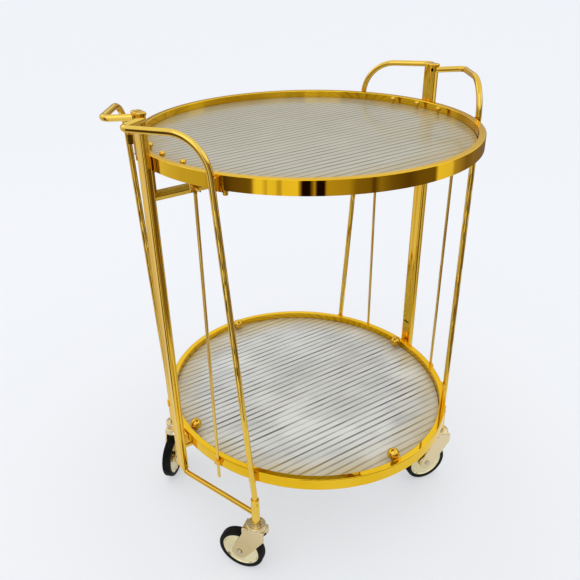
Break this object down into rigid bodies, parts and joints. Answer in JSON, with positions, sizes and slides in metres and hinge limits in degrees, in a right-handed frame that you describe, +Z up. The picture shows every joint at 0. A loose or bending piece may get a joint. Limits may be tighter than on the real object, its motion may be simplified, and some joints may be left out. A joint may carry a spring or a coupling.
{
  "type": "tea trolley",
  "caption": "Gold metal tea trolley with round reeded glass trays on bent tube legs that form end handles, with cross bars, tie rods and swivel casters.",
  "frame": {"origin": "on the floor, under the middle of the trays", "axes": "+X along the cross bars from the left to the right post, +Y from the near to the far side, +Z up"},
  "size_m": [0.499, 0.45, 0.6243],
  "materials": {
    "polished_gold_metal": "mirror polished gold plating",
    "pale_gold_metal": "pale gold plated pressed sheet",
    "zinc_steel": "zinc plated",
    "reeded_glass": "clear above, reeded below",
    "tyre": "matt black rubber"
  },
  "bodies": {
    "frame": {"top_tray_rim": "polished_gold_metal", "top_tray_support_ring": "polished_gold_metal", "top_tray_glass": "reeded_glass", "bottom_tray_rim": "polished_gold_metal", "bottom_tray_support_ring": "polished_gold_metal", "bottom_tray_glass": "reeded_glass", "bottom_tray_knobs": "polished_gold_metal", "top_tray_knobs": "polished_gold_metal", "left_post": "polished_gold_metal", "right_post": "polished_gold_metal", "left_post_cap": "polished_gold_metal", "right_post_cap": "polished_gold_metal", "upper_cross_bar": "polished_gold_metal", "lower_cross_bar": "polished_gold_metal", "top_tray_brackets": "polished_gold_metal", "bottom_tray_brackets": "polished_gold_metal", "sleeve_rivets": "polished_gold_metal", "tie_rod_lugs": "polished_gold_metal", "tie_rod_screws": "polished_gold_metal", "tie_rod_guides": "polished_gold_metal", "top_leg_saddles": "polished_gold_metal", "bottom_leg_saddles": "polished_gold_metal", "top_cap_nut_lugs": "polished_gold_metal", "near_left_leg": "polished_gold_metal", "near_left_stay": "polished_gold_metal", "near_left_sleeve": "polished_gold_metal", "near_left_tie_rod": "polished_gold_metal", "near_left_caster_stem": "zinc_steel", "near_right_leg": "polished_gold_metal", "near_right_stay": "polished_gold_metal", "near_right_sleeve": "polished_gold_metal", "near_right_tie_rod": "polished_gold_metal", "near_right_caster_stem": "zinc_steel", "far_left_leg": "polished_gold_metal", "far_left_stay": "polished_gold_metal", "far_left_sleeve": "polished_gold_metal", "far_left_tie_rod": "polished_gold_metal", "far_left_caster_stem": "zinc_steel", "far_right_leg": "polished_gold_metal", "far_right_stay": "polished_gold_metal", "far_right_sleeve": "polished_gold_metal", "far_right_tie_rod": "polished_gold_metal", "far_right_caster_stem": "zinc_steel"},
    "near_left_caster": {"near_left_fork": "pale_gold_metal", "near_left_axle": "zinc_steel"},
    "near_left_wheel": {"near_left_wheel_hub": "pale_gold_metal", "near_left_tyre": "tyre"},
    "near_right_caster": {"near_right_fork": "pale_gold_metal", "near_right_axle": "zinc_steel"},
    "near_right_wheel": {"near_right_wheel_hub": "pale_gold_metal", "near_right_tyre": "tyre"},
    "far_left_caster": {"far_left_fork": "pale_gold_metal", "far_left_axle": "zinc_steel"},
    "far_left_wheel": {"far_left_wheel_hub": "pale_gold_metal", "far_left_tyre": "tyre"},
    "far_right_caster": {"far_right_fork": "pale_gold_metal", "far_right_axle": "zinc_steel"},
    "far_right_wheel": {"far_right_wheel_hub": "pale_gold_metal", "far_right_tyre": "tyre"}
  },
  "joints": [
    {"name": "near_left_swivel", "type": "hinge", "parent": "frame", "child": "near_left_caster", "pos_m": [-0.17279, -0.13053, 0.09], "axis": [0, 0, 1], "continuous": true},
    {"name": "near_left_wheel_spin", "type": "hinge", "parent": "near_left_caster", "child": "near_left_wheel", "pos_m": [-0.18627, -0.11128, 0.0335], "axis": [-0.8192, -0.5736, 0], "continuous": true},
    {"name": "near_right_swivel", "type": "hinge", "parent": "frame", "child": "near_right_caster", "pos_m": [0.17279, -0.13053, 0.09], "axis": [0, 0, 1], "continuous": true},
    {"name": "near_right_wheel_spin", "type": "hinge", "parent": "near_right_caster", "child": "near_right_wheel", "pos_m": [0.1498, -0.12564, 0.0335], "axis": [-0.2079, -0.9781, 0], "continuous": true},
    {"name": "far_left_swivel", "type": "hinge", "parent": "frame", "child": "far_left_caster", "pos_m": [-0.17279, 0.13053, 0.09], "axis": [0, 0, 1], "continuous": true},
    {"name": "far_left_wheel_spin", "type": "hinge", "parent": "far_left_caster", "child": "far_left_wheel", "pos_m": [-0.18941, 0.11391, 0.0335], "axis": [0.7071, -0.7071, 0], "continuous": true},
    {"name": "far_right_swivel", "type": "hinge", "parent": "frame", "child": "far_right_caster", "pos_m": [0.17279, 0.13053, 0.09], "axis": [0, 0, 1], "continuous": true},
    {"name": "far_right_wheel_spin", "type": "hinge", "parent": "far_right_caster", "child": "far_right_wheel", "pos_m": [0.15244, 0.11878, 0.0335], "axis": [0.5, -0.866, 0], "continuous": true}
  ]
}
